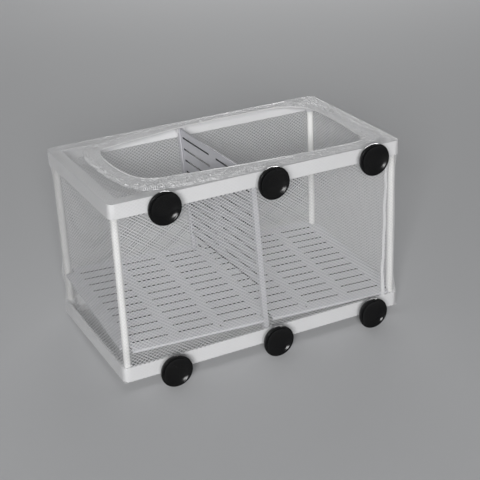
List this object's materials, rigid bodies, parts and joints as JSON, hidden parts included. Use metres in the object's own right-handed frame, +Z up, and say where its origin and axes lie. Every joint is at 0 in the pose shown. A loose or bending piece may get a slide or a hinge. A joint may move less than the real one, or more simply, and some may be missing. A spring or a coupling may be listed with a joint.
{
  "type": "fish breeding box",
  "caption": "Net-covered box with a slotted divider and floor that keeps breeding fish and fry apart inside an aquarium, held to the glass by suction cups.",
  "frame": {"origin": "middle of the underside, on the lower face of the net's bottom panel", "axes": "+X along the length, -Y towards the side with the suction cups, +Z up through the mouth"},
  "size_m": [0.266, 0.1633, 0.1724],
  "materials": {
    "frame_plastic": "satin white moulded plastic",
    "post_plastic": "satin off-white drawn plastic rod",
    "board_plastic": "satin cool white sheet, die-cut slots",
    "cup_rubber": "glossy black soft vinyl",
    "net_nylon": "fine white nylon mesh",
    "hem_elastic": "thin white covered elastic"
  },
  "bodies": {
    "box": {"top_frame": "frame_plastic", "bottom_frame": "frame_plastic", "corner_post_front_left": "post_plastic", "corner_post_front_right": "post_plastic", "corner_post_back_left": "post_plastic", "corner_post_back_right": "post_plastic", "divider_guide_front": "post_plastic", "divider_guide_back": "post_plastic", "net_front": "net_nylon", "net_back": "net_nylon", "net_left": "net_nylon", "net_right": "net_nylon", "net_bottom": "net_nylon", "net_flap_front": "net_nylon", "net_flap_back": "net_nylon", "net_flap_left": "net_nylon", "net_flap_right": "net_nylon", "elastic_hem": "hem_elastic"},
    "divider": {"divider_board": "board_plastic"},
    "floor": {"floor_plate": "board_plastic"},
    "cup_top_left": {"suction_cup_top_left": "cup_rubber"},
    "cup_top_middle": {"suction_cup_top_middle": "cup_rubber"},
    "cup_top_right": {"suction_cup_top_right": "cup_rubber"},
    "cup_bottom_left": {"suction_cup_bottom_left": "cup_rubber"},
    "cup_bottom_middle": {"suction_cup_bottom_middle": "cup_rubber"},
    "cup_bottom_right": {"suction_cup_bottom_right": "cup_rubber"}
  },
  "joints": [
    {"name": "divider_slide", "type": "slide", "parent": "box", "child": "divider", "axis": [-0.0576, -0.0012, 0.9983], "range_m": [-0.01, 0.0008]},
    {"name": "floor_tilt", "type": "hinge", "parent": "box", "child": "floor", "pos_m": [0.1315, -0.073, 0.0132], "axis": [0.8878, 0.4602, 0], "range_deg": [-6.1, 0]},
    {"name": "cup_top_left_spin", "type": "hinge", "parent": "box", "child": "cup_top_left", "pos_m": [-0.092, -0.074, 0.15125], "axis": [0, -1, 0], "continuous": true},
    {"name": "cup_top_middle_spin", "type": "hinge", "parent": "box", "child": "cup_top_middle", "pos_m": [0.003, -0.074, 0.15125], "axis": [0, -1, 0], "continuous": true},
    {"name": "cup_top_right_spin", "type": "hinge", "parent": "box", "child": "cup_top_right", "pos_m": [0.098, -0.074, 0.15125], "axis": [0, -1, 0], "continuous": true},
    {"name": "cup_bottom_left_spin", "type": "hinge", "parent": "box", "child": "cup_bottom_left", "pos_m": [-0.092, -0.074, 0.00675], "axis": [0, -1, 0], "continuous": true},
    {"name": "cup_bottom_middle_spin", "type": "hinge", "parent": "box", "child": "cup_bottom_middle", "pos_m": [0.003, -0.074, 0.00675], "axis": [0, -1, 0], "continuous": true},
    {"name": "cup_bottom_right_spin", "type": "hinge", "parent": "box", "child": "cup_bottom_right", "pos_m": [0.098, -0.074, 0.00675], "axis": [0, -1, 0], "continuous": true}
  ]
}
